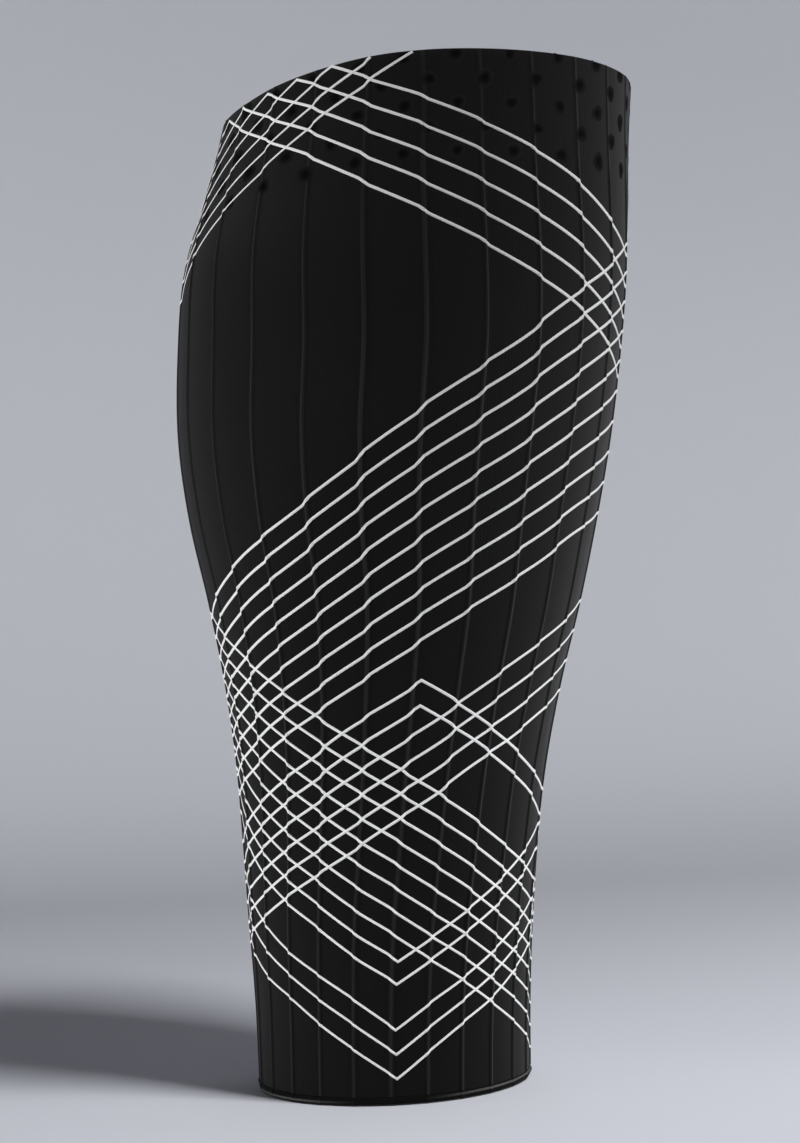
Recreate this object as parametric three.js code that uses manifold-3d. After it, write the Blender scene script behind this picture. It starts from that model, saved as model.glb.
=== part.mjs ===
// A calf sleeve in the form that it has when it is worn: a ribbed knit tube, a band under its
// top edge with grip dots on the inside, and a rolled hem round the ankle opening.
//
// Millimetres. +Z runs up the leg, -Y points to the shin and +Y to the back of the calf. The
// origin is the centre of the ankle opening.

import * as THREE from 'three';
import { mergeVertices } from 'three/addons/utils/BufferGeometryUtils.js';
import Module from 'manifold-3d';

// Driving dimensions. Depths run from shin to calf and breadths from side to side, both over
// the fabric's outside.
const sleeveHeight = 281.2;
const ankleDepth = 77.4;
const ankleBreadth = 73.5;
const calfDepth = 126.4;
const calfBreadth = 120.1;
const topDepth = 114.4;
const topBreadth = 108.7;
const topLean = 10; // how far the top opening's centre lies towards the shin
const topEdgeDrop = 10.3; // fall of the top edge from the shin to the back of the calf
const ankleEdgeTilt = 2.6; // rise of the ankle edge at the shin, and its fall at the back

const fabricWall = 1.2;
const pieceGap = 0.3;

const ribCount = 24;
const ribWidth = 1.6;
const ribRise = 0.5;

const gripBandHeight = 31;
const dotColumns = 25;
const dotRows = 5;
const dotDiameter = 3;
const dotTopDiameter = 1.8;
const dotRise = 0.5;
const dotRoot = 0.2; // how deep a dot's root is sunk into the fabric
const dotRowPitch = 6.5;
const dotEdgeMargin = 0.4; // top edge to the first row of dots
const dotStart = 2; // degrees round from the first rib to the first dot

const hemHeight = 2.2;
const hemWall = 1.9;

const tubeSteps = 12; // rows of faces up the tube
const bandSteps = 2;
const dotSides = 6;

// The worn form, from the ankle edge up. rise is a share of sleeveHeight. ankle and calf are
// the shares of those two sizes that a section takes, and the rest is the top opening's.
// lean is a share of topLean. ribDrift is how far the ribs have wandered round, in degrees.
const sections = [
  { rise: 0.0, ankle: 1, calf: 0, lean: 0, ribDrift: -1.5 },
  { rise: 0.08, ankle: 0.98, calf: 0.02, lean: -0.06, ribDrift: -0.6 },
  { rise: 0.16, ankle: 0.93, calf: 0.07, lean: -0.11, ribDrift: 1.0 },
  { rise: 0.24, ankle: 0.86, calf: 0.14, lean: -0.12, ribDrift: 3.3 },
  { rise: 0.32, ankle: 0.77, calf: 0.23, lean: -0.1, ribDrift: 5.2 },
  { rise: 0.4, ankle: 0.62, calf: 0.38, lean: -0.06, ribDrift: 6.6 },
  { rise: 0.48, ankle: 0.42, calf: 0.58, lean: -0.02, ribDrift: 7.3 },
  { rise: 0.56, ankle: 0.22, calf: 0.78, lean: -0.05, ribDrift: 6.8 },
  { rise: 0.64, ankle: 0.07, calf: 0.93, lean: -0.03, ribDrift: 6.6 },
  { rise: 0.73, ankle: 0, calf: 1, lean: 0.1, ribDrift: 6.5 },
  { rise: 0.81, ankle: 0, calf: 0.99, lean: 0.29, ribDrift: 4.5 },
  { rise: 0.89, ankle: 0, calf: 0.54, lean: 0.61, ribDrift: 1.2 },
  { rise: 0.96, ankle: 0, calf: 0.12, lean: 0.88, ribDrift: -1.0 },
  { rise: 1.0, ankle: 0, calf: 0, lean: 1, ribDrift: -2.5 },
];

const columns = ['ankle', 'calf', 'lean', 'ribDrift'];
const form = new THREE.CubicInterpolant(
  sections.map((section) => section.rise),
  sections.flatMap((section) => columns.map((column) => section[column])),
  columns.length,
);

// The section at one height: its half sizes over the fabric, its lean and the ribs' turn.
function sectionAt(height) {
  const [ankle, calf, lean, ribDrift] = form.evaluate(height / sleeveHeight);
  const top = 1 - ankle - calf;
  return {
    halfDepth: (ankle * ankleDepth + calf * calfDepth + top * topDepth) / 2,
    halfBreadth: (ankle * ankleBreadth + calf * calfBreadth + top * topBreadth) / 2,
    lean: lean * topLean,
    ribTurn: THREE.MathUtils.degToRad(ribDrift),
  };
}

// A point at one angle round the leg (0 at +X, a quarter turn at the back of the calf), out
// from the plain fabric's outside by offset.
function pointAt(angle, height, offset) {
  const { halfDepth, halfBreadth, lean } = sectionAt(height);
  return new THREE.Vector3(
    (halfBreadth + offset) * Math.cos(angle),
    (halfDepth + offset) * Math.sin(angle) - lean,
    height,
  );
}

// The heights of the two open edges. backShare is 0 at the shin and 1 at the back of the calf.
const backShare = (angle) => (1 + Math.sin(angle)) / 2;
const topEdge = (angle) => sleeveHeight - topEdgeDrop * backShare(angle) ** 3;
const ankleEdge = (angle) => ankleEdgeTilt * (1 - 2 * backShare(angle));

// One point of a ring, with the angle that it lies at.
function ringPoint(angle, height, offset) {
  return { angle, position: pointAt(angle, height, offset) };
}

// A closed body from rings of points, which may differ in number. Each ring joins the next,
// and the last joins the first. Points run anticlockwise seen from above, and rings go up
// outside and down inside. Two rings are joined by walking round both, always on to the
// nearer next point.
function bodyFromRings(rings) {
  const angleOf = (ring, step) => (
    ring[step % ring.length].angle + (step >= ring.length ? 2 * Math.PI : 0)
  );
  const indices = [];
  let start = 0;
  rings.forEach((ring, row) => {
    const next = rings[(row + 1) % rings.length];
    const nextStart = row + 1 < rings.length ? start + ring.length : 0;
    let here = 0;
    let there = 0;
    while (here < ring.length || there < next.length) {
      const a = start + (here % ring.length);
      const b = nextStart + (there % next.length);
      const onHere = there === next.length || (
        here < ring.length && angleOf(ring, here + 1) <= angleOf(next, there + 1)
      );
      if (onHere) {
        here += 1;
        indices.push(a, start + (here % ring.length), b);
      } else {
        there += 1;
        indices.push(a, nextStart + (there % next.length), b);
      }
    }
    start += ring.length;
  });
  const points = rings.flat().map(({ position }) => position);
  const geometry = new THREE.BufferGeometry().setFromPoints(points);
  geometry.setIndex(indices);
  return geometry;
}

// One ring of the fabric at the height that edge gives for an angle. Outside, each rib takes a
// point at either foot and one on its crest, and another lies halfway to the next rib. The
// inner face is smooth, with two points for each rib.
function fabricRing(edge, outside) {
  const pitch = (2 * Math.PI) / ribCount;
  return Array.from({ length: ribCount }, (_, rib) => {
    const crest = rib * pitch + sectionAt(edge(rib * pitch)).ribTurn;
    const halfway = crest + pitch / 2;
    if (!outside) {
      return [crest, halfway].map((angle) => ringPoint(angle, edge(angle), -fabricWall));
    }
    const { halfDepth, halfBreadth } = sectionAt(edge(crest));
    const footTurn = ribWidth / (halfDepth + halfBreadth);
    return [
      ringPoint(crest - footTurn, edge(crest - footTurn), 0),
      ringPoint(crest, edge(crest), ribRise),
      ringPoint(crest + footTurn, edge(crest + footTurn), 0),
      ringPoint(halfway, edge(halfway), 0),
    ];
  }).flat();
}

// A ribbed wall of fabric between two edges, with as many rows of faces as steps.
function fabricWallBody(lowEdge, highEdge, steps) {
  const edges = Array.from({ length: steps + 1 }, (_, step) => (angle) => (
    THREE.MathUtils.lerp(lowEdge(angle), highEdge(angle), step / steps)
  ));
  const outer = edges.map((edge) => fabricRing(edge, true));
  const inner = edges.map((edge) => fabricRing(edge, false)).reverse();
  return bodyFromRings([...outer, ...inner]);
}

// The edges between the pieces.
const bandEdge = (angle) => topEdge(angle) - gripBandHeight;
const tubeTop = (angle) => bandEdge(angle) - pieceGap;
const hemTop = (angle) => ankleEdge(angle) + hemHeight;
const tubeFoot = (angle) => hemTop(angle) + pieceGap;

function makeCalfTube() {
  return fabricWallBody(tubeFoot, tubeTop, tubeSteps);
}

// The hem is a roll: full at mid height, drawn in a little at its two edges.
function makeAnkleHem() {
  const rollOut = (hemWall - fabricWall) / 2;
  const profile = [
    { share: 0, offset: rollOut / 2 },
    { share: 0.5, offset: rollOut },
    { share: 1, offset: 0 },
    { share: 1, offset: -fabricWall },
    { share: 0.5, offset: -fabricWall - rollOut },
    { share: 0, offset: -fabricWall - rollOut / 2 },
  ];
  const points = ribCount * 3;
  return bodyFromRings(profile.map(({ share, offset }) => (
    Array.from({ length: points }, (_, point) => {
      const angle = (point / points) * 2 * Math.PI;
      return ringPoint(angle, ankleEdge(angle) + share * hemHeight, offset);
    })
  )));
}

// A grip dot: a low frustum that stands in from the fabric's inner face, with its root sunk into
// the fabric. It is as wide as dotDiameter where it leaves the fabric.
function makeDot(angle, height) {
  const flare = (dotDiameter - dotTopDiameter) / dotRise;
  const ends = [
    { offset: dotRoot - fabricWall, diameter: dotDiameter + flare * dotRoot },
    { offset: -fabricWall - dotRise, diameter: dotTopDiameter },
  ];
  const rings = ends.map(({ offset, diameter }) => {
    const middle = pointAt(angle, height, offset);
    const side = pointAt(angle + 0.01, height, offset).sub(middle).normalize();
    return Array.from({ length: dotSides }, (_, point) => {
      const turn = (point / dotSides) * 2 * Math.PI;
      return middle.clone()
        .addScaledVector(side, (-Math.cos(turn) * diameter) / 2)
        .add(new THREE.Vector3(0, 0, (Math.sin(turn) * diameter) / 2));
    });
  });
  const indices = [];
  for (let point = 0; point < dotSides; point += 1) {
    const next = (point + 1) % dotSides;
    indices.push(point, next, dotSides + next, point, dotSides + next, dotSides + point);
    if (point > 1) {
      indices.push(0, point, point - 1);
      indices.push(dotSides, dotSides + point - 1, dotSides + point);
    }
  }
  const geometry = new THREE.BufferGeometry().setFromPoints(rings.flat());
  geometry.setIndex(indices);
  return geometry;
}

const wasm = await Module();
wasm.setup();

function toSolid(geometry) {
  geometry.deleteAttribute('normal');
  geometry.deleteAttribute('uv');
  const merged = mergeVertices(geometry);
  return new wasm.Manifold(new wasm.Mesh({
    numProp: 3,
    vertProperties: new Float32Array(merged.attributes.position.array),
    triVerts: new Uint32Array(merged.index.array),
  }));
}

function toGeometry(solid) {
  const { vertProperties, triVerts } = solid.getMesh();
  const geometry = new THREE.BufferGeometry();
  geometry.setAttribute('position', new THREE.BufferAttribute(vertProperties, 3));
  geometry.setIndex(new THREE.BufferAttribute(triVerts, 1));
  return geometry;
}

// The grip band: its ribbed wall with the rows of dots fused to the inside. Every other row is
// shifted by half a step, and the columns follow the ribs' drift.
function makeGripBand() {
  let band = toSolid(fabricWallBody(bandEdge, topEdge, bandSteps));
  const step = (2 * Math.PI) / dotColumns;
  for (let row = 0; row < dotRows; row += 1) {
    const drop = dotEdgeMargin + dotDiameter / 2 + row * dotRowPitch;
    for (let column = 0; column < dotColumns; column += 1) {
      const turn = (column + (row % 2) / 2) * step + THREE.MathUtils.degToRad(dotStart);
      const angle = turn + sectionAt(topEdge(turn) - drop).ribTurn;
      band = band.add(toSolid(makeDot(angle, topEdge(angle) - drop)));
    }
  }
  return toGeometry(band);
}

const fabricBlack = { color: 0x17171a, roughness: 0.9, metalness: 0 };
const hemBlack = { color: 0x1b1b1e, roughness: 0.85, metalness: 0 };

function addPiece(parent, name, geometry, look) {
  const piece = new THREE.Mesh(geometry, new THREE.MeshStandardMaterial(look));
  piece.name = name;
  parent.add(piece);
}

const sleeve = new THREE.Group();
sleeve.name = 'calf_sleeve';
addPiece(sleeve, 'calf_tube', makeCalfTube(), fabricBlack);
addPiece(sleeve, 'grip_band', makeGripBand(), fabricBlack);
addPiece(sleeve, 'ankle_hem', makeAnkleHem(), hemBlack);

export default sleeve;
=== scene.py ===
import math

import bpy
import numpy as np
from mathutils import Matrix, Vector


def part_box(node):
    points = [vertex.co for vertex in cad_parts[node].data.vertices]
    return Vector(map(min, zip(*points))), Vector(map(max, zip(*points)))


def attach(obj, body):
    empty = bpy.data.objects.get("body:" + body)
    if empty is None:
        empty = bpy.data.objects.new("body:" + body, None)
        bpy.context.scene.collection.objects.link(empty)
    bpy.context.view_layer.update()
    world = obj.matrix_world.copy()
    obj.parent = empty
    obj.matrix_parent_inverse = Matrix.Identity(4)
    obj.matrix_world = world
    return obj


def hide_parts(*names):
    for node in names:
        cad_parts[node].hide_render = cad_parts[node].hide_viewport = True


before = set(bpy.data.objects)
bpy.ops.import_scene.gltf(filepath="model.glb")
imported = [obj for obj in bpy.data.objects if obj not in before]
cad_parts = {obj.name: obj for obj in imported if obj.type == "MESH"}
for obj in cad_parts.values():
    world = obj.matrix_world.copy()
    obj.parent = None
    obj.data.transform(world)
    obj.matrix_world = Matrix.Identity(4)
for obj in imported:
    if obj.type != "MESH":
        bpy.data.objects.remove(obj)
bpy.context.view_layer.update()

# The looks of a calf sleeve in its worn form. Metres, +Z up the leg, -Y to the shin, +Y to the
# back of the calf. Places on the sleeve are given as an angle round the leg, in degrees, and a
# height. The angle is 0 at -X, where the camera looks, 90 at the shin and -90 at the back.

MM = 0.001

# The worn form, as in the part
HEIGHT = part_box("grip_band")[1].z
ANKLE_DEPTH, ANKLE_BREADTH = 77.4 * MM, 73.5 * MM
CALF_DEPTH, CALF_BREADTH = 126.4 * MM, 120.1 * MM
TOP_DEPTH, TOP_BREADTH = 114.4 * MM, 108.7 * MM
TOP_LEAN = 10 * MM
RIB_SEAT = 0.3 * MM
WALL = 1.2 * MM
BAND_HEIGHT = 31 * MM
HEM_HEIGHT, HEM_WALL = 2.2 * MM, 1.9 * MM
# The ankle edge climbs to the shin by its tilt, and hangs by its sag on the camera's side
ANKLE_EDGE_TILT, ANKLE_EDGE_SAG = 1.85 * MM, 0.7 * MM

# The ribs, which are lower on the band: the share of their rise there, and the height over which
# it falls to that
RIBS = 24
RIB_PITCH = 360 / RIBS
RIB_WIDTH, RIB_RISE = 1.7 * MM, 0.45 * MM
BAND_RIB_SHARE, BAND_RIB_FADE = 0.6, 4 * MM
# Columns of points in the knit's wall: across a rib, in halves of its width, and between two
# ribs, in shares of their pitch
RIB_STATIONS = np.array([-1.5, -1.0, -0.75, -0.5, -0.25, 0, 0.25, 0.5, 0.75, 1.0, 1.5])
VALLEY_STATIONS = np.array([0.25, 0.375, 0.5, 0.625, 0.75])

# The grip dots, in staggered rows. In degrees: where the columns start, how far they are set
# back, how far they spread at the shin and at the back, and how far those at the back turn on.
DOT_COLUMNS, DOT_ROWS = 25, 5
DOT_PITCH = 360 / DOT_COLUMNS
DOT_START, DOT_SET_BACK = 2, 0.5
DOT_SPREAD, DOT_BACK_TURN = 4, 2.2
# How far the rows lie below the rim, how much higher at the shin and how much lower at the back,
# where the sine of the angle is past DOT_BACK
DOT_FIRST_DROP, DOT_ROW_PITCH = 1.6 * MM, 6.5 * MM
DOT_SHIN_RISE, DOT_BACK_SINK, DOT_BACK = 0.8 * MM, 1.2 * MM, 0.35
DOT_RADIUS, DOT_RISE = 1.5 * MM, 0.5 * MM

# The dark spots over the dots: the range of their size in the dots' radius, their height in
# their breadth, how far their middle and their edge stand off the fabric, and how far their edge
# and their middle stay under the rim
SPOT_GIRTH, SPOT_FLATNESS = (1.45, 1.85), 0.92
SPOT_LIFT, SPOT_EDGE_LIFT = 0.055 * MM, -0.02 * MM
SPOT_EDGE_DROP, SPOT_DROP = 0.3 * MM, 0.4 * MM

# Knit loops: columns of loops from one rib to the next, and the height of a row of loops
WALES_PER_RIB = 16
COURSE = 0.75 * MM

# Sections: share of the height, shares of the ankle's and the calf's size (the rest is the top
# opening's), share of the lean, the ribs' drift in degrees, and how far the back of the calf lies
# inside the part's plain form, in mm
SECTIONS = np.array([
    (0.00, 1.00, 0.00, 0.00, -1.5, 0.3),
    (0.08, 0.98, 0.02, -0.06, -0.6, 0.3),
    (0.16, 0.93, 0.07, -0.11, 1.0, 0.25),
    (0.24, 0.86, 0.14, -0.12, 3.3, 0.4),
    (0.32, 0.77, 0.23, -0.10, 5.2, 0.45),
    (0.40, 0.62, 0.38, -0.06, 6.6, 0.45),
    (0.48, 0.42, 0.58, -0.02, 7.3, 0.35),
    (0.56, 0.22, 0.78, -0.05, 6.8, 0.3),
    (0.64, 0.07, 0.93, -0.03, 6.6, 0.6),
    (0.73, 0.00, 1.00, 0.10, 6.5, 0.85),
    (0.81, 0.00, 0.99, 0.29, 4.5, 0.7),
    (0.89, 0.00, 0.54, 0.61, 1.2, 0.6),
    (0.96, 0.00, 0.12, 0.88, -1.0, 0.3),
    (1.00, 0.00, 0.00, 1.00, -2.5, 0.0),
])

# How far the top edge lies below its full height, in mm, by the angle
TOP_EDGE_DROP = np.array([
    (-90, 11.8), (-75, 11.1), (-60, 9.4), (-45, 6.55), (-30, 3.95), (-15, 1.65), (0, 0.4),
    (15, -0.2), (30, -0.55), (45, -0.75), (60, -0.65), (90, -0.5),
])

# The stripes, as bands of parallel lines. Each band gives its number of lines and the heights
# in mm of its first and its last line at the angles -90, -75 and so on to 90; the other lines
# are spaced evenly between. None: the band doesn't reach that angle.
STEP = 15
BANDS = {
    "rising_wide": (10, (
        (127.7, 134, 140.8, 148.9, 157.3, 168, 180.5, 192.6, 203.8, 216, 225.4, 233.8, 241.6),
        (79.5, 84, 89.2, 96.3, 103.3, 111.2, 119.7, 128.7, 137.3, 145.6, 153.8, 158.5, 163),
    )),
    "falling_top": (5, (
        (296, 292, 287.5, 283, 278.5, 273, 267.8, 262, 255.8, 249, 241.2, 234, 227),
        (276, 270.4, 264.6, 259.2, 253.6, 246.4, 239.2, 231.8, 224.2, 217, 209.4, 201.8, 194.3),
    )),
    "rising_top": (7, (
        (215, 227.6, 239.6, 250.8, 262.6, 273.4, 284, None, None, None, None, None, None),
        (253.1, 265.7, 277.7, 288.9, 300.7, 311.5, 322, None, None, None, None, None, None),
    )),
    "rising_low": (6, (
        (66, 72, 78.3, 85.4, 92.4, 101, 108.8, 117.3, 126.2, 135.3, 142.7, 149.5, 155.5),
        (38.5, 43, 48, 54.1, 60.6, 67.5, 75.4, 82.8, 91.2, 97.8, 104.2, 108.8, 113),
    )),
    "falling_mid": (2, (
        (None, None, None, None, None, None, 118.8, 111.7, 104.3, 97, 90.1, 84.4, 78.5),
        (None, None, None, None, None, None, 112.2, 104.8, 97.8, 90.5, 84, 77.3, 71),
    )),
    "falling_wide": (10, (
        (135.5, 128.8, 121.9, 113.9, 106.2, 98.8, 91.7, 84.7, 77.5, 70.2, 64, 58.5, 53),
        (79, 69.5, 60.75, 53.4, 47, 39.5, 33, 25.8, 19.4, 12.6, 6.4, 0.9, -4.2),
    )),
    "rising_mid": (2, (
        (None, None, None, None, None, None, 36.6, 43.9, 51, 58, 65, 71.7, 78),
        (None, None, None, None, None, None, 30.8, 38, 45, 51.8, 58.5, 65, 71),
    )),
    "falling_ankle": (3, (
        (60, 53, 46.2, 39.5, 33.7, 27.4, 20.2, 13, None, None, None, None, None),
        (42.5, 36.8, 31.2, 26.5, 20, 13.5, 6.9, 0.3, None, None, None, None, None),
    )),
    "rising_ankle": (3, (
        (None, None, None, None, None, 12, 18.8, 26.5, 33.1, 39.7, 46, 51.7, 57),
        (None, None, None, None, None, -2, 5.5, 13.7, 21, 27, 33.5, 39.3, 44.8),
    )),
}
# The stripes' width at the ankle and up the leg, what it gains at the shin and loses at the back
# of the calf, and the share that the rising lines lose at the top of the back
STRIPE_ANKLE, STRIPE_LEG = 0.72 * MM, 0.83 * MM
STRIPE_SHIN, STRIPE_BACK, STRIPE_TOP_LOSS = 0.12 * MM, 0.1 * MM, 0.25
# How far the print stands off the knit, its section in shares of its width and of that height,
# and the steps along it in degrees
STRIPE_LIFT = 0.12 * MM
STRIPE_PROFILE = ((-0.5, -1.0), (-0.42, 0.8), (0.0, 1.0), (0.42, 0.8), (0.5, -1.0))
STRIPE_SAMPLE = 0.6
# A stripe climbs or falls faster where it crosses a rib: half the crossing's width and what it
# gains there, as shares of the ribs' pitch. The gain is smaller at the ankle.
CROSSING_HALF, CROSSING_GAIN, ANKLE_GAIN = 0.075, 0.085, 0.035
# How far painted shade darkens the print towards grey at the top of the calf, from the back of the
# calf (0) past the camera's side (0.5) to the shin (1)
STRIPE_PAINTED_SHADE = (
    (0.0, 0.0), (0.15, 0.05), (0.3, 0.3), (0.5, 0.62), (0.63, 0.8), (0.75, 0.66), (0.88, 0.5),
    (1.0, 0.4),
)

# Painted light and shade on the floor and wall: their tones by the distance along the floor and up
# the wall, in metres, and their tint
SWEEP_START, SWEEP_SPAN = -0.12, 1.62
SWEEP_PAINTED_TONES = (
    (-0.12, 0.87), (-0.05, 0.81), (0.0, 0.755), (0.06, 0.71), (0.12, 0.665), (0.2, 0.59),
    (0.28, 0.53), (0.38, 0.47), (0.46, 0.43), (0.55, 0.455), (0.65, 0.465), (0.8, 0.435),
    (0.95, 0.41), (1.1, 0.385), (1.25, 0.345), (1.5, 0.31),
)
SWEEP_TINT = (0.965, 0.985, 1.075)


def smooth(x, xs, ys):
    """A smooth curve through the points (xs, ys), at x. ys has a row for each of xs."""
    x = np.clip(np.asarray(x, float), xs[0], xs[-1])
    k = np.clip(np.searchsorted(xs, x, side="right") - 1, 0, len(xs) - 2)
    slopes = np.gradient(ys, xs, axis=0)
    h = xs[k + 1] - xs[k]
    u = (x - xs[k]) / h
    shape = u.shape + (1,) * (ys.ndim - 1)
    u, h = u.reshape(shape), h.reshape(shape)
    return ((2 * u**3 - 3 * u**2 + 1) * ys[k] + (u**3 - 2 * u**2 + u) * h * slopes[k]
            + (3 * u**2 - 2 * u**3) * ys[k + 1] + (u**3 - u**2) * h * slopes[k + 1])


def fade(x, low, high):
    """0 up to low, 1 from high on, and even between them."""
    return np.clip((x - low) / (high - low), 0, 1)


def section(z):
    """Half depth, half breadth, lean and rib drift at height z."""
    shares = smooth(np.asarray(z) / HEIGHT, SECTIONS[:, 0], SECTIONS[:, 1:])
    ankle, calf, lean, drift, trim = np.moveaxis(shares, -1, 0)
    top = 1 - ankle - calf
    shift = trim / 2 * MM
    return (
        (ankle * ANKLE_DEPTH + calf * CALF_DEPTH + top * TOP_DEPTH) / 2 - RIB_SEAT - shift,
        (ankle * ANKLE_BREADTH + calf * CALF_BREADTH + top * TOP_BREADTH) / 2 - RIB_SEAT,
        lean * TOP_LEAN + shift,
        drift,
    )


def per_degree(angle, z):
    """How far one degree reaches along the fabric."""
    half_depth, half_breadth, _, _ = section(z)
    a = np.radians(angle)
    return np.hypot(half_depth * np.cos(a), half_breadth * np.sin(a)) * math.pi / 180


def rim(angle):
    """Height of the top edge, the same on the camera's half and on the far half."""
    near = np.degrees(np.arcsin(np.sin(np.radians(angle))))
    return HEIGHT - smooth(near, TOP_EDGE_DROP[:, 0], TOP_EDGE_DROP[:, 1]) * MM


def ankle_edge(angle):
    """Height of the lower edge."""
    a = np.radians(angle)
    return ANKLE_EDGE_TILT * np.sin(a) - ANKLE_EDGE_SAG * np.cos(a)


def band_edge(angle):
    return rim(angle) - BAND_HEIGHT


def rib_relief(angle, z):
    """How far the ribs raise the fabric's outside."""
    drift = section(z)[3]
    turns = (angle - drift) / RIB_PITCH
    away = np.abs(turns - np.round(turns)) * RIB_PITCH * per_degree(angle, z)
    crest = 0.5 + 0.5 * np.cos(math.pi * np.clip(away / (RIB_WIDTH / 2), 0, 1))
    into_band = fade(z - band_edge(angle), 0, BAND_RIB_FADE)
    return RIB_RISE * crest * (1 - (1 - BAND_RIB_SHARE) * into_band)


def place(angle, z, offset):
    """Points on the sleeve, out from the plain fabric by offset."""
    half_depth, half_breadth, lean, _ = section(z)
    a = np.radians(angle)
    return np.stack([
        -(half_breadth + offset) * np.cos(a),
        -(half_depth + offset) * np.sin(a) - lean,
        z + np.zeros_like(a),
    ], axis=-1)


def knit_uv(angle, z):
    """Position in the knit, in columns and rows of loops. The columns follow the ribs."""
    drift = section(z)[3]
    return np.stack([(angle - drift) / RIB_PITCH * WALES_PER_RIB, z / COURSE], axis=-1)


def make_object(name, points, faces, uvs=None, sharp=None):
    """A mesh object with smooth faces. uvs holds a value for each face corner."""
    mesh = bpy.data.meshes.new(name)
    mesh.from_pydata(points.tolist(), [], faces.tolist())
    for uv_name, values in (uvs or {}).items():
        layer = mesh.uv_layers.new(name=uv_name)
        layer.data.foreach_set("uv", values.astype(np.float32).ravel())
    mesh.shade_smooth()
    if sharp is not None:
        ends = np.zeros(len(mesh.edges) * 2, int)
        mesh.edges.foreach_get("vertices", ends)
        marks = sharp[ends.reshape(-1, 2)].all(axis=1)
        attribute = mesh.attributes.new("sharp_edge", "BOOLEAN", "EDGE")
        attribute.data.foreach_set("value", marks)
    piece = bpy.data.objects.new(name, mesh)
    bpy.context.scene.collection.objects.link(piece)
    return piece


def lattice_faces(rings, columns):
    """Quads between rings of points, each ring closed, the last ring joined to the first."""
    ring, column = np.meshgrid(np.arange(rings), np.arange(columns), indexing="ij")
    ring, column = ring.ravel(), column.ravel()
    up, along = (ring + 1) % rings, (column + 1) % columns
    corners = [(ring, column), (ring, along), (up, along), (up, column)]
    return np.stack([r * columns + c for r, c in corners], axis=-1)


def corner_uvs(places, faces):
    """The place in the knit of each corner of the faces, unbroken where the columns of loops
    start again."""
    corner = places.reshape(-1, 2)[faces]
    whole = RIBS * WALES_PER_RIB
    corner[..., 0] += whole * (corner[..., 0] < corner[:, :1, 0] - whole / 2)
    return corner


def make_fabric(name, rows, sharp_rows=()):
    """A closed wall of knit from rows (height at an angle, offset, share of the rib relief).
    Rows run up the outside and down the inside."""
    per_rib = len(RIB_STATIONS) + len(VALLEY_STATIONS)
    crest = np.repeat(np.arange(RIBS) * RIB_PITCH - 180, per_rib)
    local = np.tile(np.concatenate([RIB_STATIONS, VALLEY_STATIONS * RIB_PITCH]), RIBS)
    on_rib = np.tile(np.arange(per_rib) < len(RIB_STATIONS), RIBS)
    points, places = [], []
    for edge, offset, relief in rows:
        drift = section(edge(crest))[3]
        half = RIB_WIDTH / 2 / per_degree(crest, edge(crest))
        angle = crest + drift + np.where(on_rib, local * half, local)
        z = edge(angle)
        points.append(place(angle, z, offset + relief * rib_relief(angle, z)))
        places.append(knit_uv(angle, z))
    points = np.array(points)
    rings, columns = points.shape[:2]
    faces = lattice_faces(rings, columns)
    corner = corner_uvs(np.array(places), faces)
    row = faces // columns
    row = np.where(row < row[:, :1], row + rings, row)
    uvs = {"knit": corner, "roll": np.stack([corner[..., 0], row / rings], axis=-1)}
    sharp = np.zeros(rings, bool)
    sharp[list(sharp_rows)] = True
    return make_object(name, points.reshape(-1, 3), faces, uvs, np.repeat(sharp, columns))


def between(low, high, share):
    """An edge that lies between two edges."""
    return lambda angle: low(angle) * (1 - share) + high(angle) * share


def shifted(edge, up):
    """An edge that lies above another by up."""
    return lambda angle: edge(angle) + up


def hem_top(angle):
    return ankle_edge(angle) + HEM_HEIGHT


def make_tube():
    rows_out, rows_in = 101, 34
    outside = [(between(hem_top, band_edge, s), 0, 1) for s in np.linspace(0, 1, rows_out)]
    inside = [(between(hem_top, band_edge, s), -WALL, 0) for s in np.linspace(1, 0, rows_in)]
    rows = outside + inside
    return make_fabric("calf_knit", rows, (0, rows_out - 1, rows_out, len(rows) - 1))


def make_band():
    rows_out, rows_in = 17, 9
    round_off = 0.3 * MM
    under_rim = shifted(rim, -round_off)
    outside = [(between(band_edge, under_rim, s), 0, 1) for s in np.linspace(0, 1, rows_out)]
    edge_turn = [
        (shifted(rim, -0.3 * round_off), -0.3 * round_off, 0.6),
        (rim, -round_off, 0.2),
        (rim, round_off - WALL, 0),
        (shifted(rim, -0.3 * round_off), 0.3 * round_off - WALL, 0),
    ]
    inside = [(between(band_edge, under_rim, s), -WALL, 0) for s in np.linspace(1, 0, rows_in)]
    rows = outside + edge_turn + inside
    return make_fabric("grip_knit", rows, (0, len(rows) - 1))


def make_hem():
    """The rolled ankle edge, with the ribs running down into it."""
    turns, squareness, rib_share = 20, 0.5, 0.7
    rows = []
    for turn in np.linspace(0, 2 * math.pi, turns, endpoint=False):
        out = math.copysign(abs(math.sin(turn)) ** squareness, math.sin(turn))
        lift = (0.5 - 0.5 * math.cos(turn)) * HEM_HEIGHT
        offset = (HEM_WALL * out - WALL) / 2
        rows.append((shifted(ankle_edge, lift), offset, max(out, 0) * rib_share))
    return make_fabric("ankle_roll", rows)


def dot_places():
    """Angle and height of each grip dot. The rows lie a little higher at the shin and lower at
    the back, and the columns are wider apart there."""
    for row in range(DOT_ROWS):
        for column in range(DOT_COLUMNS):
            turn = (column + (row % 2) / 2) * DOT_PITCH - 180 + DOT_START
            side = math.sin(math.radians(turn))
            back = fade(-side, 0, DOT_BACK)
            drop = DOT_FIRST_DROP + row * DOT_ROW_PITCH
            drop += back * DOT_BACK_SINK - max(side, 0) * DOT_SHIN_RISE
            middle = turn + section(rim(turn) - drop)[3] - DOT_SET_BACK
            middle += DOT_SPREAD * side**2 + DOT_BACK_TURN * back
            yield middle, rim(middle) - drop


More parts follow.
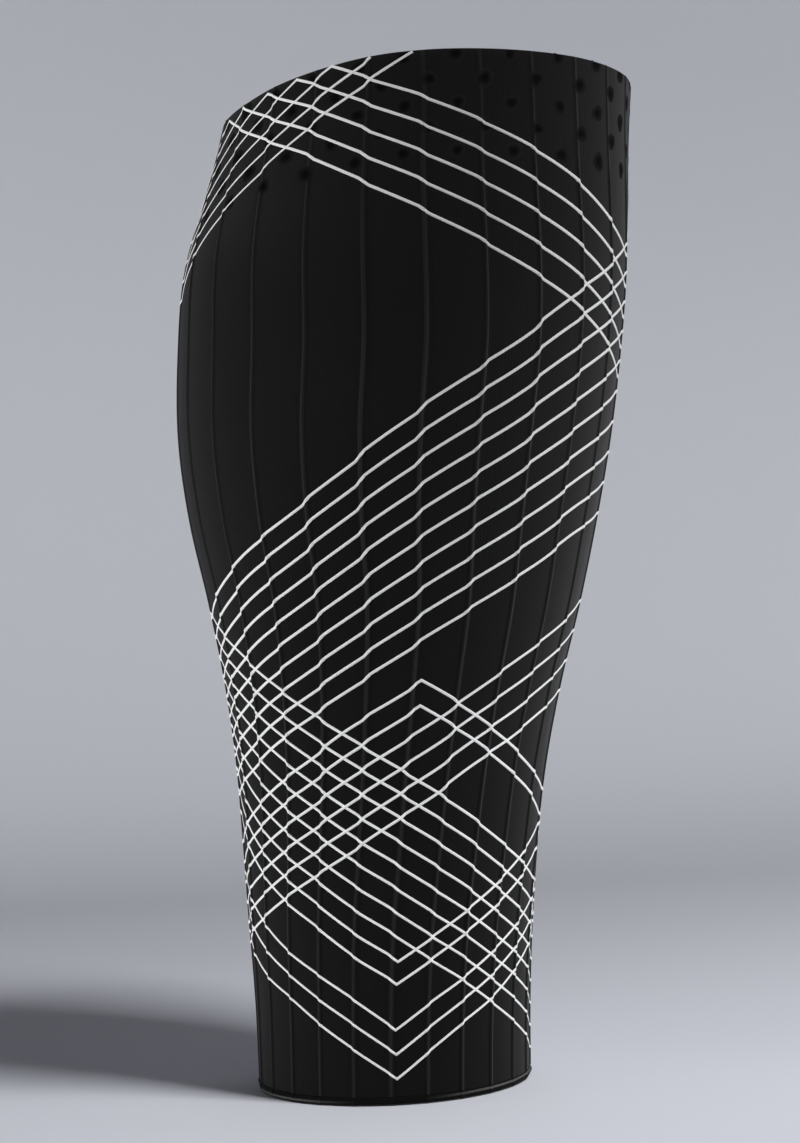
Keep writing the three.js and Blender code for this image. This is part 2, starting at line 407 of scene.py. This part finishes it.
def make_spots():
    """Dark spots on the outside of the grip band, one over each dome behind it. No two are
    quite the same size or shape."""
    sides = 24
    rings = (0.0, 0.15, 0.3, 0.45, 0.6, 0.75, 0.88, 1.0)
    chance = np.random.default_rng(7)
    around = np.arange(sides) * 2 * math.pi / sides
    points, faces, outward = [], [], []
    for middle, height in dot_places():
        start = len(points)
        girth = DOT_RADIUS * chance.uniform(*SPOT_GIRTH)
        wobble = 1 + sum(
            chance.uniform(0.03, 0.1) * np.cos(k * around + chance.uniform(0, 2 * math.pi))
            for k in (1, 2, 3)
        )
        reach = per_degree(middle, height)
        for share in rings:
            a = middle + girth * wobble * share * np.cos(around) / reach
            z = height + girth * wobble * share * np.sin(around) * SPOT_FLATNESS
            z = np.minimum(z, rim(a) - SPOT_DROP + (SPOT_DROP - SPOT_EDGE_DROP) * share)
            lift = SPOT_LIFT if share < 1 else SPOT_EDGE_LIFT
            points.extend(place(a, z, rib_relief(a, z) + lift))
        for level in range(len(rings) - 1):
            inner, outer = start + level * sides, start + (level + 1) * sides
            for side in range(sides):
                along = (side + 1) % sides
                faces.append((outer + side, outer + along, inner + along, inner + side))
                outward.append([rings[level + 1]] * 2 + [rings[level]] * 2)
    uv = np.stack([np.zeros((len(faces), 4)), np.array(outward)], axis=-1)
    return make_object("grip_spots", np.array(points), np.array(faces), {"spot": uv})


def make_dots():
    """Silicone domes on the inside of the grip band."""
    sides = 12
    profile = ((1.0, -0.1), (0.97, 0.25), (0.8, 0.75), (0.45, 1.0), (0.0, 1.05))
    around = np.arange(sides) * 2 * math.pi / sides
    points, faces = [], []
    for middle, height in dot_places():
        start = len(points)
        reach = per_degree(middle, height)
        for spread, rise in profile:
            a = middle + DOT_RADIUS * spread * np.cos(around) / reach
            z = height + DOT_RADIUS * spread * np.sin(around)
            points.extend(place(a, z, -WALL - DOT_RISE * rise))
        for level in range(len(profile) - 1):
            outer, inner = start + level * sides, start + (level + 1) * sides
            for side in range(sides):
                along = (side + 1) % sides
                faces.append((outer + side, inner + side, inner + along, outer + along))
    return make_object("grip_dots", np.array(points), np.array(faces))


def line_of(band, index):
    """The height of one line of a band, as a function of the angle."""
    count, (first, last) = BANDS[band]
    reach = [i for i, height in enumerate(first) if height is not None]
    angles = np.array([i * STEP - 90 for i in reach], float)
    share = index / (count - 1)
    heights = np.array([first[i] * (1 - share) + last[i] * share for i in reach]) * MM
    return lambda angle: smooth(angle, angles, heights)


def crossing(left, right, low, high):
    """The angle at which two lines meet."""
    angles = np.linspace(low, high, 4001)
    return float(angles[np.argmin(np.abs(left(angles) - right(angles)))])


def sampled(line, low, high):
    """Angles and heights of points along a line."""
    angles = np.arange(low, high, STRIPE_SAMPLE)
    angles = np.append(angles[angles < high - STRIPE_SAMPLE / 2], high)
    return angles, line(angles)


def turning(left, right, low, high):
    """A line that follows left up to the point where it meets right, and right from there on."""
    corner = crossing(left, right, low, high)
    first, second = sampled(left, -90, corner), sampled(right, corner, 90)
    return tuple(np.append(a[:-1], b) for a, b in zip(first, second))


def all_lines():
    """Each line on the camera's half of the sleeve: angles, heights, and whether it falls."""
    under_rim = shifted(rim, -0.3 * MM)
    lines = []

    def add(line, falls):
        lines.append((*line, falls))

    for k in range(10):
        add(sampled(line_of("rising_wide", k), -90, 90), False)
    for k in range(5):
        add(turning(line_of("rising_top", k + 2), line_of("falling_top", k), -85, -10), True)
    for k in range(2):
        rising = line_of("rising_top", k)
        add(sampled(rising, -90, crossing(rising, under_rim, -40, 0)), False)
        add(turning(line_of("rising_low", k), line_of("falling_mid", k), 2, 20), False)
        add(turning(line_of("falling_wide", k + 8), line_of("rising_mid", k), 0, 10), True)
    for k in range(2, 6):
        add(sampled(line_of("rising_low", k), -90, 90), False)
    for k in range(8):
        add(sampled(line_of("falling_wide", k), -90, 90), True)
    for k in range(3):
        add(turning(line_of("falling_ankle", k), line_of("rising_ankle", k), -5, 10), True)
    return lines


def across_ribs(angle, z):
    """Moves points of a line towards or away from the ribs, so that it steps at each rib."""
    drift = section(z)[3]
    turns = (angle - drift) / RIB_PITCH
    rib = np.round(turns)
    away = turns - rib
    up_leg = fade(z / HEIGHT, 0, 0.45)
    gain = ANKLE_GAIN + (CROSSING_GAIN - ANKLE_GAIN) * up_leg
    zone = CROSSING_HALF + gain / 2
    size = np.abs(away)
    near = size * CROSSING_HALF / zone
    far = CROSSING_HALF + (size - zone) * (0.5 - CROSSING_HALF) / (0.5 - zone)
    moved = np.sign(away) * np.where(size < zone, near, far)
    return drift + (rib + moved) * RIB_PITCH


def stripe_width(angle, z, rises):
    """The print is narrow at the ankle and widens where the calf stretches it, most at the
    shin's side. The rising lines are thinner at the top of the back."""
    side = np.sin(np.radians(angle))
    up_leg, on_calf = fade(z, 20 * MM, 90 * MM), fade(z, 120 * MM, 180 * MM)
    to_shin, to_back = fade(side, 0, 0.8), fade(-side, 0.3, 0.8)
    width = STRIPE_ANKLE + (STRIPE_LEG - STRIPE_ANKLE) * up_leg
    width += on_calf * (STRIPE_SHIN * to_shin - STRIPE_BACK * to_back)
    top_back = fade(-side, 0.4, 0.7) * fade(z, 200 * MM, 220 * MM)
    return width * (1 - STRIPE_TOP_LOSS * rises * top_back)


def round_sleeve(angles, heights):
    """A line's angles and heights with those on the far half, as in a mirror, and whether it
    closes into a loop. One that stops at the rim doesn't."""
    far_angles, far_heights = 180 - angles[::-1], heights[::-1]
    closed = angles[-1] > 89.9
    if closed:
        angle = np.concatenate([angles, far_angles[1:-1]])
        return angle, np.concatenate([heights, far_heights[1:-1]]), closed
    angle = np.concatenate([far_angles - 360, angles[1:]])
    return angle, np.concatenate([far_heights, heights[1:]]), closed


def steps_along(angle, z, reach, closed):
    """The step from each point of a line to the next, in metres along the fabric."""
    if closed:
        ahead = np.roll(angle, -1)
        ahead[-1] += 360
        return np.stack([(ahead - angle) * reach, np.roll(z, -1) - z], axis=-1)
    step = np.stack([np.diff(angle) * reach[:-1], np.diff(z)], axis=-1)
    return np.vstack([step, step[-1:]])


def miters(step, closed):
    """The direction across a line at each point, longer where the line bends."""
    normal = np.stack([-step[:, 1], step[:, 0]], axis=-1)
    normal /= np.linalg.norm(normal, axis=1, keepdims=True)
    before = np.roll(normal, 1, axis=0)
    if not closed:
        before[0] = normal[0]
    return (normal + before) / (1 + (normal * before).sum(axis=1, keepdims=True))


def ribbon_faces(count, across, closed):
    """Quads of a stripe with count sections. One that doesn't close has a cap at each end."""
    faces = lattice_faces(count, across)
    if closed:
        return faces
    faces = faces[faces.max(axis=1) - faces.min(axis=1) <= 2 * across]
    cap = np.array([[0, 1, across - 2, across - 1]])
    return np.concatenate([faces, cap, (count - 1) * across + cap[:, ::-1]])


def make_stripes(name, lines, lift):
    """Thin raised print along the lines, which go on over the far half as in a mirror."""
    all_points, all_faces, all_uvs = [], [], []
    start = 0
    for angles, heights, _ in lines:
        angle, z, closed = round_sleeve(angles, heights)
        angle = across_ribs(angle, z)
        reach = per_degree(angle, z)
        step = steps_along(angle, z, reach, closed)
        miter = miters(step, closed)
        rises = step[:, 0] * step[:, 1] * np.cos(np.radians(angle)) > 0
        width = stripe_width(angle, z, rises)
        points, places = [], []
        for side, rise in STRIPE_PROFILE:
            a = angle + miter[:, 0] * side * width / reach
            h = z + miter[:, 1] * side * width
            points.append(place(a, h, rib_relief(a, h) + lift * rise))
            places.append(knit_uv(a, h))
        count, across = len(angle), len(STRIPE_PROFILE)
        faces = ribbon_faces(count, across, closed)
        all_points.append(np.stack(points, axis=1).reshape(-1, 3))
        all_faces.append(faces + start)
        all_uvs.append(corner_uvs(np.stack(places, axis=1), faces))
        start += count * across
    points, faces, uvs = (np.concatenate(x) for x in (all_points, all_faces, all_uvs))
    return make_object(name, points, faces, {"knit": uvs})


def grey(tone):
    return (tone, tone, tone)


class Nodes:
    """A small helper to build a material's node tree."""

    def __init__(self, name):
        self.material = bpy.data.materials.new(name)
        self.material.use_nodes = True
        self.tree = self.material.node_tree
        self.shader = self.tree.nodes["Principled BSDF"]

    def add(self, kind, **settings):
        node = self.tree.nodes.new(kind)
        for key, value in settings.items():
            setattr(node, key, value)
        return node

    def feed(self, value, socket):
        """Gives a socket a number, a colour or the output of another node."""
        if isinstance(value, tuple):
            socket.default_value = (*value, 1)
        elif isinstance(value, (int, float)):
            socket.default_value = value
        else:
            self.tree.links.new(value, socket)

    def math(self, operation, *values):
        node = self.add("ShaderNodeMath", operation=operation)
        for value, socket in zip(values, node.inputs):
            self.feed(value, socket)
        return node.outputs[0]

    def ramp(self, value, low, high, to_low=0.0, to_high=1.0):
        node = self.add("ShaderNodeMapRange", interpolation_type="SMOOTHSTEP")
        self.feed(value, node.inputs["Value"])
        self.feed(low, node.inputs["From Min"])
        self.feed(high, node.inputs["From Max"])
        self.feed(to_low, node.inputs["To Min"])
        self.feed(to_high, node.inputs["To Max"])
        return node.outputs["Result"]

    def tones(self, value, stops):
        """A colour ramp."""
        node = self.add("ShaderNodeValToRGB")
        self.feed(value, node.inputs["Fac"])
        elements = node.color_ramp.elements
        while len(elements) < len(stops):
            elements.new(1.0)
        for element, (position, color) in zip(elements, stops):
            element.position = position
            element.color = (*color, 1)
        return node

    def mix(self, factor, a, b):
        """The colour a where the factor is 0, and b where it is 1."""
        node = self.add("ShaderNodeMix", data_type="RGBA")
        self.feed(factor, node.inputs[0])
        self.feed(a, node.inputs[6])
        self.feed(b, node.inputs[7])
        return node.outputs[2]

    def position(self):
        """A point's place in its piece's own X, Y and Z."""
        separate = self.add("ShaderNodeSeparateXYZ")
        self.feed(self.add("ShaderNodeTexCoord").outputs["Object"], separate.inputs[0])
        return separate.outputs["X"], separate.outputs["Y"], separate.outputs["Z"]

    def noise(self, scale, detail):
        node = self.add("ShaderNodeTexNoise")
        self.feed(scale, node.inputs["Scale"])
        self.feed(detail, node.inputs["Detail"])
        self.feed(self.add("ShaderNodeTexCoord").outputs["Object"], node.inputs["Vector"])
        return node.outputs["Fac"]

    def uv(self, name):
        separate = self.add("ShaderNodeSeparateXYZ")
        self.feed(self.add("ShaderNodeUVMap", uv_map=name).outputs["UV"], separate.inputs[0])
        return separate.outputs["X"], separate.outputs["Y"]

    def bump(self, height, distance, strength):
        node = self.add("ShaderNodeBump")
        self.feed(distance, node.inputs["Distance"])
        self.feed(strength, node.inputs["Strength"])
        self.feed(height, node.inputs["Height"])
        self.feed(node.outputs["Normal"], self.shader.inputs["Normal"])

    def finish(self, color, roughness, level, sheen=0.0, sheen_roughness=0.5):
        self.feed(color, self.shader.inputs["Base Color"])
        self.feed(roughness, self.shader.inputs["Roughness"])
        self.feed(level, self.shader.inputs["Specular IOR Level"])
        self.feed(sheen, self.shader.inputs["Sheen Weight"])
        self.feed(sheen_roughness, self.shader.inputs["Sheen Roughness"])
        return self.material


def stitches(nodes):
    """The height of the knit's loops, 0 to 1, and how far a point lies from a rib, in wales."""
    wale, course = nodes.uv("knit")
    side = nodes.math("PINGPONG", wale, 0.5)
    body = nodes.ramp(side, 0.0, 0.5, 1.0, 0.0)
    slant = nodes.math("MULTIPLY_ADD", side, 1.1, course)
    loop = nodes.math("SINE", nodes.math("MULTIPLY", slant, 2 * math.pi))
    loop = nodes.math("MULTIPLY_ADD", loop, 0.5, 0.5)
    height = nodes.math("ADD", nodes.math("MULTIPLY", body, 0.6), nodes.math("MULTIPLY", loop, 0.4))
    from_rib = nodes.math("PINGPONG", nodes.math("DIVIDE", wale, WALES_PER_RIB), 0.5)
    return height, nodes.math("MULTIPLY", from_rib, WALES_PER_RIB)


def side_of(nodes, uv_name):
    """-1 at the back of the calf, 0 on the camera's and the far side, 1 at the shin."""
    wale, _ = nodes.uv(uv_name)
    return nodes.math("SINE", nodes.math("MULTIPLY", wale, math.radians(RIB_PITCH) / WALES_PER_RIB))


def knit_material(name):
    """Black knit, paler on the ribs in part as a painted highlight, a little paler on the loops'
    crests with painted shade between them, and blacker at the top as painted shade.
    """
    nodes = Nodes(name)
    height, from_rib = stitches(nodes)
    fuzz, cloud = nodes.noise(2600, 2), nodes.noise(35, 3)
    shade = nodes.mix(cloud, grey(0.0015), grey(0.0024))
    # painted shade between the knit's loops, paler on their crests
    shade = nodes.mix(nodes.ramp(height, 0.1, 0.9, 0.0, 0.12), shade, grey(0.009))
    # the ribs are paler, in part as a painted highlight on their crests
    rib = nodes.ramp(from_rib, 0.3, 0.8, 1.0, 0.0)
    shade = nodes.mix(nodes.math("MULTIPLY", rib, 0.37), shade, (0.022, 0.022, 0.0225))
    # painted shade: the knit turns blacker towards the top
    _, _, up = nodes.position()
    shade = nodes.mix(nodes.ramp(up, 0.16, 0.26, 0.0, 0.7), shade, grey(0.0003))
    nodes.bump(nodes.math("MULTIPLY_ADD", fuzz, 0.25, height), 0.00015, 0.22)
    return nodes.finish(shade, nodes.ramp(fuzz, 0.2, 0.8, 0.74, 0.88), 0.05, sheen=0.105)


def stripe_material():
    """Off-white print, a little paler on the loops' crests with painted shade between them. Painted
    shade darkens it towards grey, most on the camera's side and towards the top of the calf.
    """
    nodes = Nodes("stripe_print")
    height, _ = stitches(nodes)
    fuzz = nodes.noise(3000, 2)
    # painted shade between the print's loops, paler on their crests
    shade = nodes.mix(nodes.ramp(height, 0.0, 0.6), (0.7, 0.7, 0.69), (0.76, 0.76, 0.75))
    shade = nodes.mix(nodes.ramp(fuzz, 0.45, 0.75, 0.0, 0.2), shade, (0.56, 0.56, 0.55))
    # painted shade: the print darkens towards grey on the camera's side and towards the top
    round_leg = nodes.math("MULTIPLY_ADD", side_of(nodes, "knit"), 0.5, 0.5)
    spread = nodes.tones(round_leg, [(at, grey(share)) for at, share in STRIPE_PAINTED_SHADE])
    _, _, up = nodes.position()
    spread = nodes.math("MULTIPLY", spread.outputs["Color"], nodes.ramp(up, 0.05, 0.26))
    shade = nodes.mix(spread, shade, grey(0.25))
    nodes.bump(nodes.math("MULTIPLY_ADD", fuzz, 0.4, height), 0.0001, 0.25)
    return nodes.finish(shade, 0.75, 0.3)


def hem_material():
    """The roll's knit, a little paler on the loops' crests with painted shade between them, and a
    painted highlight along the roll that climbs from its foot at the back of the calf to its upper
    side at the shin, fainter on the camera's side."""
    nodes = Nodes("rolled_knit")
    height, _ = stitches(nodes)
    fuzz = nodes.noise(2600, 2)
    # painted shade between the roll's loops
    shade = nodes.mix(nodes.ramp(height, 0.1, 0.9), grey(0.003), grey(0.005))
    _, up = nodes.uv("roll")
    side = side_of(nodes, "roll")
    # painted highlight: a pale line along the roll, fainter on the camera's side
    highlight_at = nodes.math("MULTIPLY_ADD", side, 0.1, 0.24)
    off_highlight = nodes.math("ABSOLUTE", nodes.math("SUBTRACT", up, highlight_at))
    hem_highlight = nodes.ramp(off_highlight, 0.025, 0.07, 1.0, 0.0)
    hem_highlight = nodes.math("MULTIPLY", hem_highlight, nodes.ramp(fuzz, 0.3, 0.7, 0.6, 1.0))
    hem_highlight = nodes.math("MULTIPLY", hem_highlight, nodes.ramp(nodes.math("ABSOLUTE", side), 0.2, 0.8))
    shade = nodes.mix(hem_highlight, shade, (0.09, 0.09, 0.085))
    nodes.bump(nodes.math("MULTIPLY_ADD", fuzz, 0.3, height), 0.0002, 0.4)
    return nodes.finish(shade, 0.8, 0.03, sheen=0.03, sheen_roughness=0.4)


def spot_material():
    """Knit darkened by the silicone pressed into it from behind, softer towards its edge, where the
    colour is raised as painted sheen to match the knit around it.
    """
    nodes = Nodes("pressed_silicone")
    _, out = nodes.uv("spot")
    fuzz = nodes.noise(2600, 2)
    # the edge colour is paler than the knit's own: painted sheen, as the spots have no sheen
    core, edge = (0.0006, 0.0006, 0.0008), (0.0065, 0.0065, 0.0067)
    nodes.bump(fuzz, 0.0001, 0.3)
    shade = nodes.mix(nodes.ramp(out, 0.2, 1.0), core, edge)
    return nodes.finish(shade, nodes.ramp(fuzz, 0.2, 0.8, 0.8, 0.95), 0.05)


def silicone_material():
    nodes = Nodes("silicone")
    cloud = nodes.noise(400, 2)
    shade = nodes.mix(cloud, (0.02, 0.02, 0.021), (0.035, 0.035, 0.037))
    nodes.bump(cloud, 0.00005, 0.3)
    return nodes.finish(shade, nodes.ramp(cloud, 0.3, 0.7, 0.32, 0.45), 0.5)


def backdrop_material():
    """Grey-blue paper with painted light and shade, graduated from the floor in front up the wall
    behind, and a little askew to paint shade on the left.
    """
    nodes = Nodes("pale_sweep")
    away, aside, up = nodes.position()
    # painted light and shade: the tones fall from the floor in front up the wall, and the skew
    # paints shade on the left
    along = nodes.math("ADD", away, up)
    shade_skew = nodes.math("MULTIPLY_ADD", along, -0.55, 0.4)
    along = nodes.math("MULTIPLY_ADD", aside, shade_skew, along)
    along = nodes.math("DIVIDE", nodes.math("SUBTRACT", along, SWEEP_START), SWEEP_SPAN)
    tones = nodes.tones(along, [
        ((at - SWEEP_START) / SWEEP_SPAN, tuple(tone * tint for tint in SWEEP_TINT))
        for at, tone in SWEEP_PAINTED_TONES
    ])
    tones.color_ramp.interpolation = "B_SPLINE"
    cloud = nodes.math("MULTIPLY", nodes.noise(3, 2), 0.04)
    shade = nodes.mix(cloud, tones.outputs["Color"], (0.7, 0.7, 0.75))
    return nodes.finish(shade, 0.9, 0.2)


def dress(piece, material, slot, *replaced):
    """Gives a piece its material, hangs it on the root body and hides the CAD pieces that it stands
    for. The slot is not used.
    """
    piece.data.materials.append(material)
    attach(piece, "root")
    if replaced:
        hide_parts(*replaced)
    return piece


def make_camera():
    """The photograph's view: level, from the -X side, with the frame set a little upwards."""
    distance, aside, height = 731 * MM, 1.6 * MM, 131.4 * MM
    focal_pixels, frame_height, horizon_below = 2570, 1143, 44.5
    camera = bpy.data.cameras.new("camera")
    camera.sensor_width = 36
    camera.lens = focal_pixels / frame_height * camera.sensor_width
    camera.shift_y = horizon_below / frame_height
    camera.clip_start, camera.clip_end = 0.05, 20
    view = bpy.data.objects.new("camera", camera)
    view.location = (-distance, -aside, height)
    view.rotation_euler = (math.pi / 2, 0, -math.pi / 2)
    bpy.context.scene.collection.objects.link(view)
    bpy.context.scene.camera = view


def make_sweep():
    """A floor that curves up into a wall behind the sleeve. The floor lies in the plane of the
    sleeve's ankle edge."""
    floor, front, half_width = -0.3 * MM, -1.5, 1.6
    start, radius, wall_top, turns = 0.42, 0.35, 1.2, 25
    profile = [(front, floor), (0.0, floor), (start, floor)]
    for turn in np.linspace(0, math.pi / 2, turns)[1:]:
        profile.append((start + radius * math.sin(turn), floor + radius * (1 - math.cos(turn))))
    profile.append((start + radius, wall_top))
    points = [(x, y, z) for y in (-half_width, half_width) for x, z in profile]
    count = len(profile)
    faces = [(i, i + 1, count + i + 1, count + i) for i in range(count - 1)]
    sweep = make_object("sweep", np.array(points), np.array(faces))
    sweep.rotation_euler.x = -math.atan(ANKLE_EDGE_TILT / (ANKLE_DEPTH / 2))
    sweep.rotation_euler.y = -math.atan(ANKLE_EDGE_SAG / (ANKLE_BREADTH / 2))
    sweep.data.materials.append(backdrop_material())


def add_light(name, at, aim, size, power):
    """A rectangle of light that faces the point aim."""
    light = bpy.data.lights.new(name, "AREA")
    light.shape = "RECTANGLE"
    light.size, light.size_y = size
    light.energy = power
    lamp = bpy.data.objects.new(name, light)
    lamp.location = at
    x, y, z = np.array(aim, float) - np.array(at, float)
    lamp.rotation_euler = (math.pi / 2 + math.atan2(z, math.hypot(x, y)), 0, math.atan2(-x, y))
    bpy.context.scene.collection.objects.link(lamp)


def make_light():
    """A soft key from the right in front, a low fill from the left, and a weak front light."""
    middle = (0, 0, HEIGHT / 2)
    distance, turn, climb = 3.2, math.radians(49.5), math.radians(54)
    key_at = (
        -distance * math.cos(climb) * math.cos(turn),
        -distance * math.cos(climb) * math.sin(turn),
        middle[2] + distance * math.sin(climb),
    )
    add_light("key", key_at, middle, size=(0.8, 0.8), power=82)
    add_light("left_fill", (-0.5, 2.55, -0.115), middle, size=(1.2, 0.08), power=64)
    add_light("right_fill", (-0.6, -2.2, 0.165), middle, size=(1.2, 0.1), power=24)
    add_light("front", (-1.0, 0.1, 0.04), middle, size=(0.6, 0.07), power=0.8)
    world = bpy.data.worlds.new("studio")
    world.use_nodes = True
    background = world.node_tree.nodes["Background"]
    background.inputs["Color"].default_value = (0.92, 0.95, 1.0, 1)
    background.inputs["Strength"].default_value = 0.01
    bpy.context.scene.world = world


make_camera()
bpy.context.scene.view_settings.view_transform = "Standard"

tube = dress(make_tube(), knit_material("black_knit"), "ribbed_knit", "calf_tube")
band = dress(make_band(), knit_material("black_grip_knit"), "grip_knit", "grip_band")
dress(make_hem(), hem_material(), "hem_knit", "ankle_hem")
dress(make_dots(), silicone_material(), "grip_dots")
dress(make_spots(), spot_material(), "grip_dots")

stripe_print = stripe_material()
stripe_lines = all_lines()
rising = [line for line in stripe_lines if not line[2]]
falling = [line for line in stripe_lines if line[2]]
dress(make_stripes("rising_stripes", rising, STRIPE_LIFT), stripe_print, "stripe_print")
dress(make_stripes("falling_stripes", falling, STRIPE_LIFT * 0.8), stripe_print, "stripe_print")

make_sweep()
make_light()
